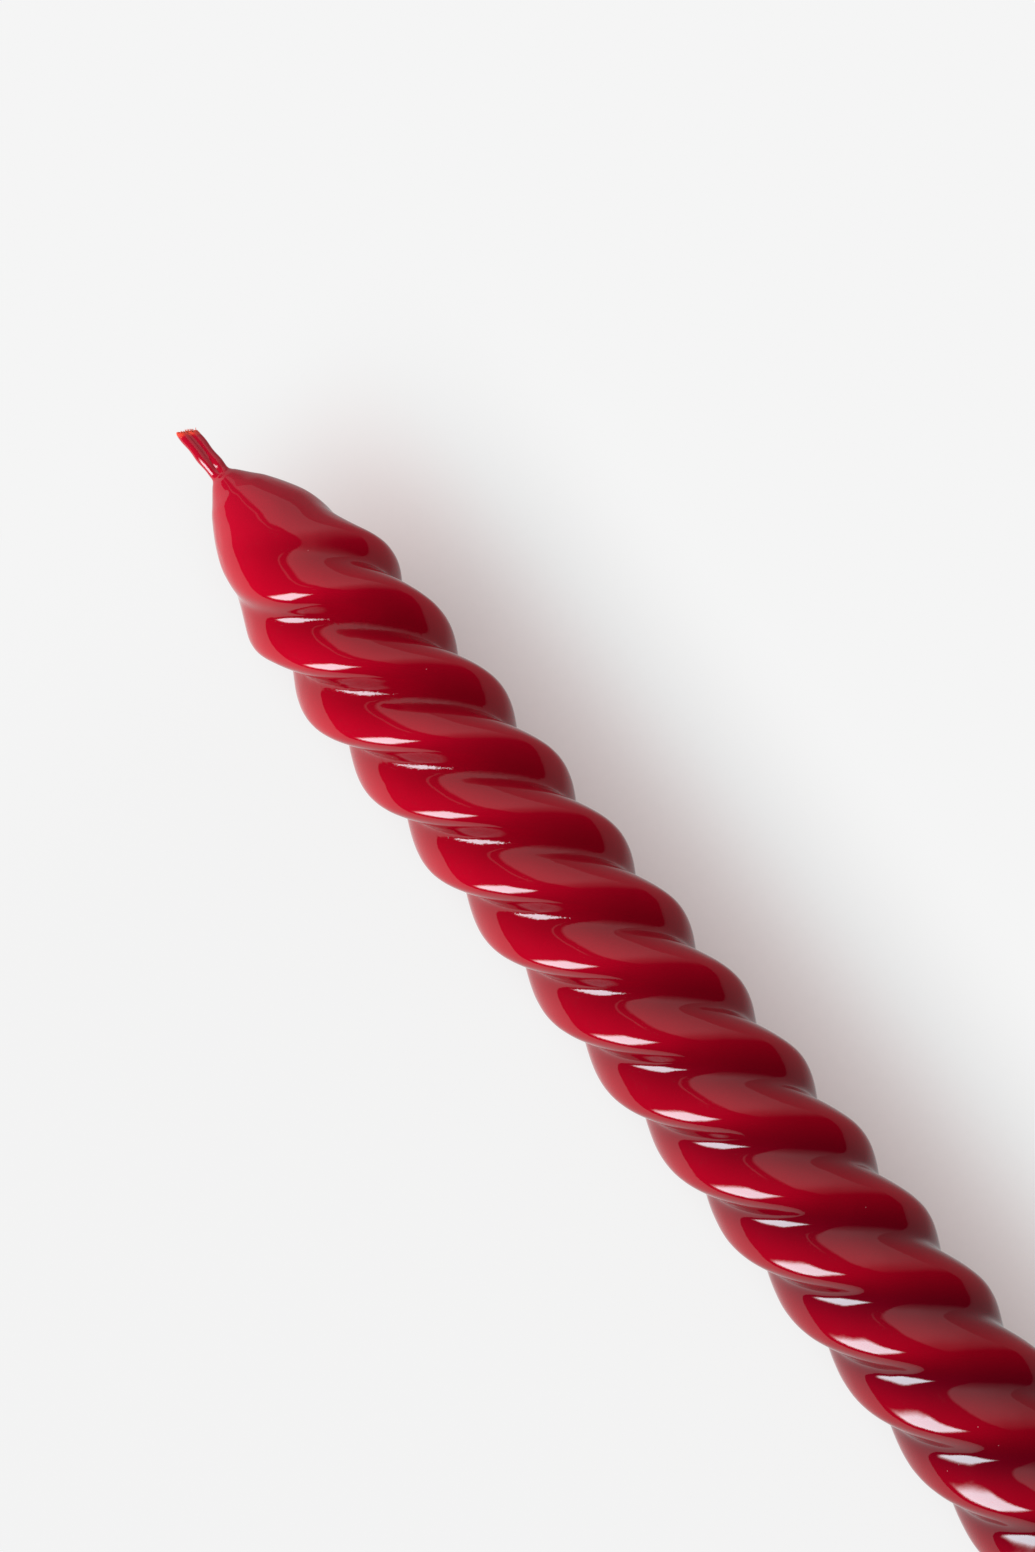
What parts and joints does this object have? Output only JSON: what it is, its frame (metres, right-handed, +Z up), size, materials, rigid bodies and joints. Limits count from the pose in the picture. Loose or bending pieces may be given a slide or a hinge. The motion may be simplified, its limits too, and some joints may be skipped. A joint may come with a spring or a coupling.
{
  "type": "twisted taper candle",
  "caption": "Twisted dinner candle with a glossy red dip coat over a pale wax core, a coned tip and a short coated wick; it burns upright in a holder.",
  "frame": {"origin": "on the table, under the middle of the box that the lying candle fills", "axes": "+Z up, +X along the candle from the wick to the foot, Y across it"},
  "size_m": [0.29, 0.0218, 0.0218],
  "materials": {
    "red_lacquer": "deep red wax under a mirror-gloss lacquer",
    "ivory_wax": "satin, slightly translucent wax",
    "cotton_braid": "flat braided cotton"
  },
  "bodies": {
    "root": {"red_coat": "red_lacquer", "wax_core": "ivory_wax", "wick": "cotton_braid"}
  },
  "joints": []
}
